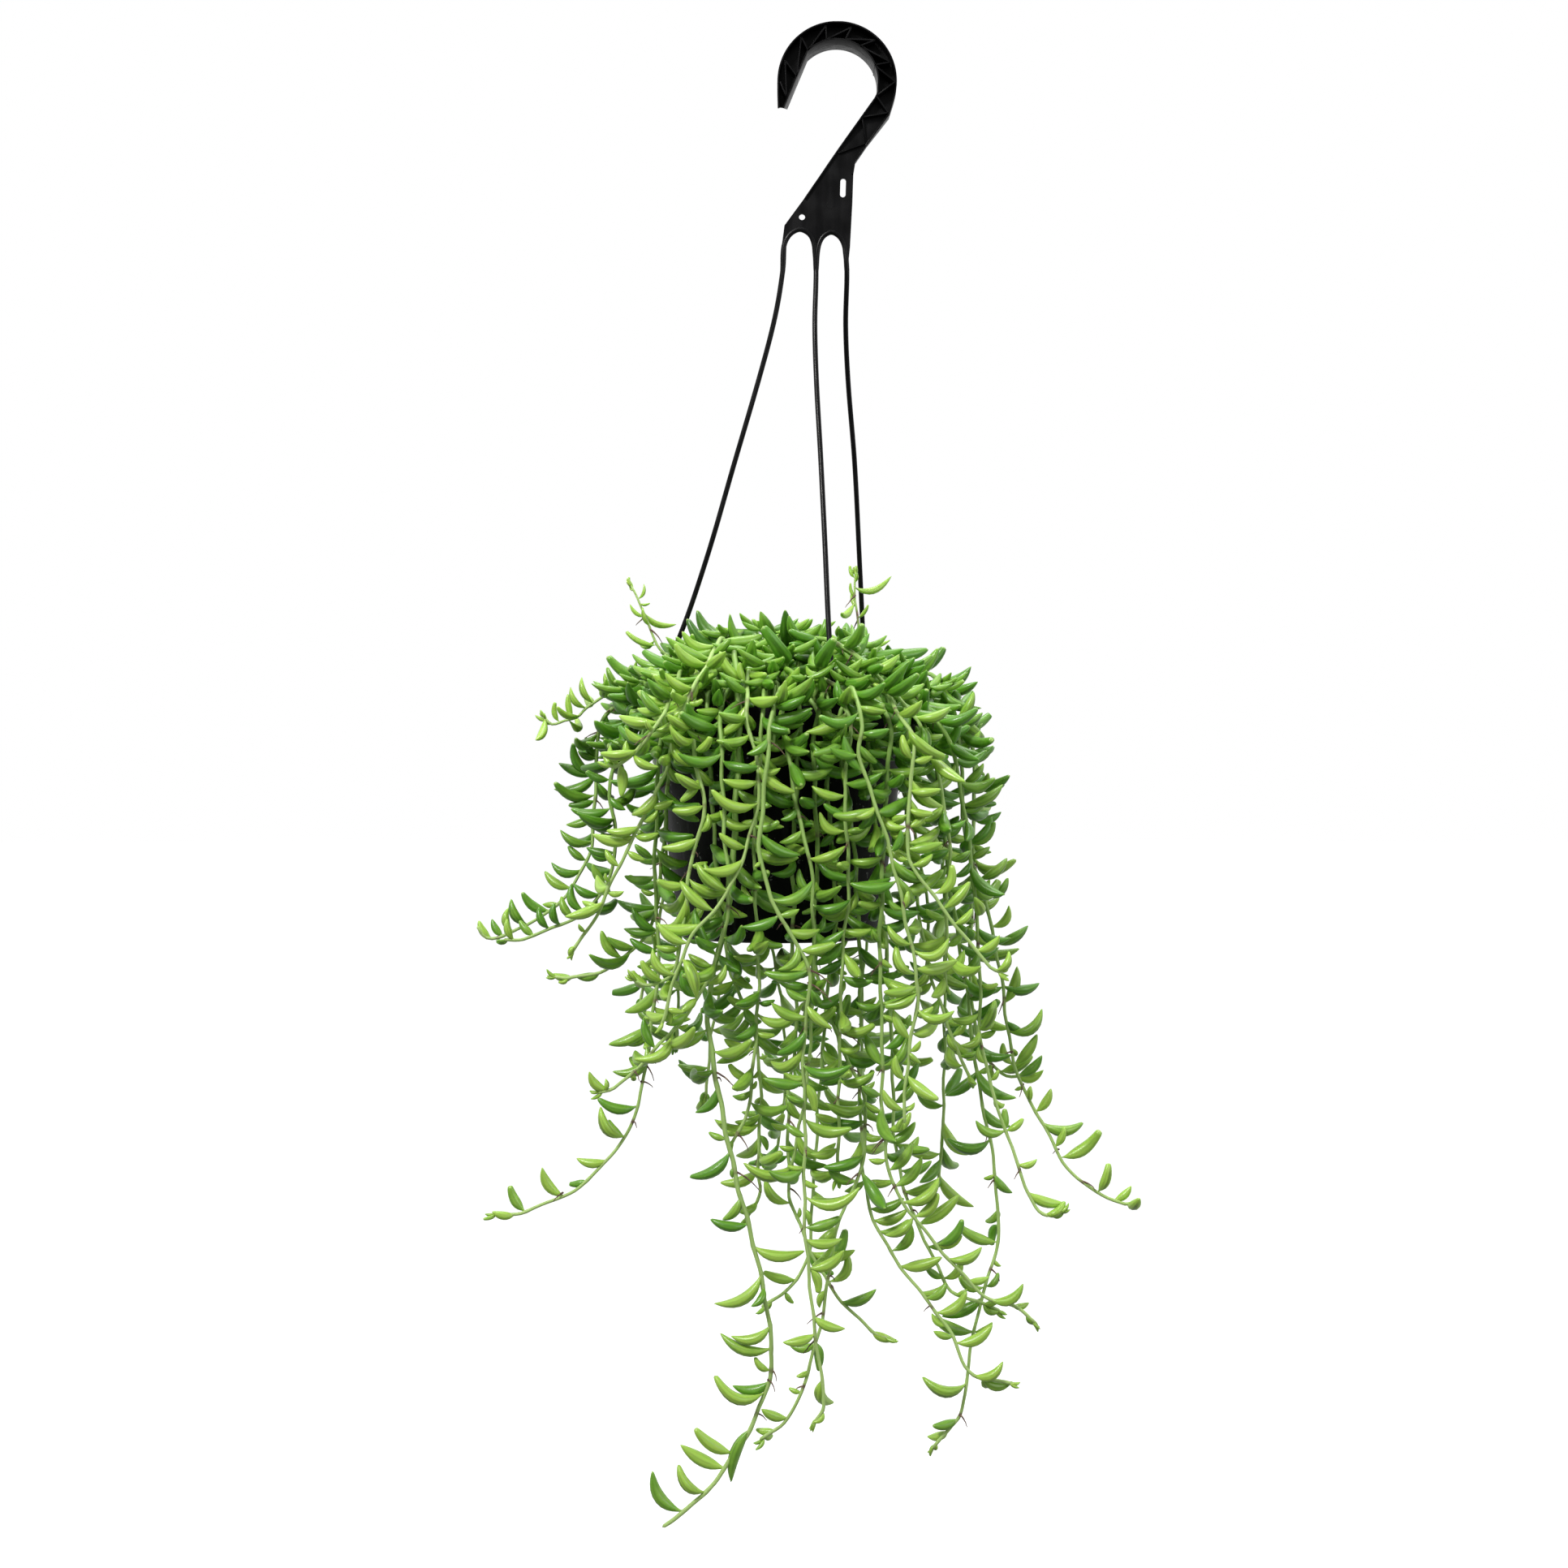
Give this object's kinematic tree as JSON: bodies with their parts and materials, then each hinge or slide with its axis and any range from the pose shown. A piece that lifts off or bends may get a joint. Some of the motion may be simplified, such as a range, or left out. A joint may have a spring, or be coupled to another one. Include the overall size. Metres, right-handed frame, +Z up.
{
  "type": "potted string of bananas",
  "caption": "Trailing succulent with banana-shaped leaves on long hanging stems, growing from a black plastic pot that hangs by a moulded hanger with a hook.",
  "frame": {"origin": "The seat at the inner top of the hanger's hook, where a rail or rod bears.", "axes": "+Z is up, -Y is the front seen in the picture, +X is to its right."},
  "size_m": [0.3676, 0.22, 0.8214],
  "materials": {
    "black_plastic": "matt",
    "hanger_plastic": "satin",
    "potting_soil": "matt",
    "leafy_green": "satin",
    "leafy_bright": "satin"
  },
  "bodies": {
    "root": {"crown_shoot_1": "leafy_green", "crown_shoot_10": "leafy_green", "crown_shoot_11": "leafy_green", "crown_shoot_2": "leafy_green", "crown_shoot_3": "leafy_green", "crown_shoot_4": "leafy_green", "crown_shoot_5": "leafy_green", "crown_shoot_6": "leafy_green", "crown_shoot_7": "leafy_green", "crown_shoot_8": "leafy_green", "crown_shoot_9": "leafy_green", "hanger": "hanger_plastic", "pot": "black_plastic", "soil": "potting_soil", "sprig_top_left": "leafy_green", "sprig_top_right": "leafy_green", "strand_back_1": "leafy_green", "strand_back_2": "leafy_green", "strand_back_3": "leafy_green", "strand_back_4": "leafy_green", "strand_back_5": "leafy_green", "strand_back_6": "leafy_green", "strand_back_7": "leafy_green", "strand_back_8": "leafy_green", "strand_centre": "leafy_green", "strand_centre_left": "leafy_green", "strand_centre_long": "leafy_green", "strand_centre_low": "leafy_green", "strand_centre_tip": "leafy_green", "strand_centre_twig": "leafy_green", "strand_front_bright": "leafy_bright", "strand_front_left": "leafy_green", "strand_front_mid_right": "leafy_green", "strand_front_right": "leafy_green", "strand_front_short": "leafy_green", "strand_inner_left": "leafy_green", "strand_left_bright": "leafy_bright", "strand_left_low": "leafy_green", "strand_left_mid": "leafy_green", "strand_left_outer": "leafy_green", "strand_left_sprig": "leafy_green", "strand_left_tail": "leafy_green", "strand_long_left": "leafy_green", "strand_low_left": "leafy_green", "strand_right_arch": "leafy_green", "strand_right_bright": "leafy_bright", "strand_right_hook": "leafy_green", "strand_right_inner": "leafy_green", "strand_right_long": "leafy_green", "strand_right_low": "leafy_green", "strand_right_mid": "leafy_green", "strand_right_outer": "leafy_green", "strand_right_swing": "leafy_green", "strand_right_tail": "leafy_green"}
  },
  "joints": []
}
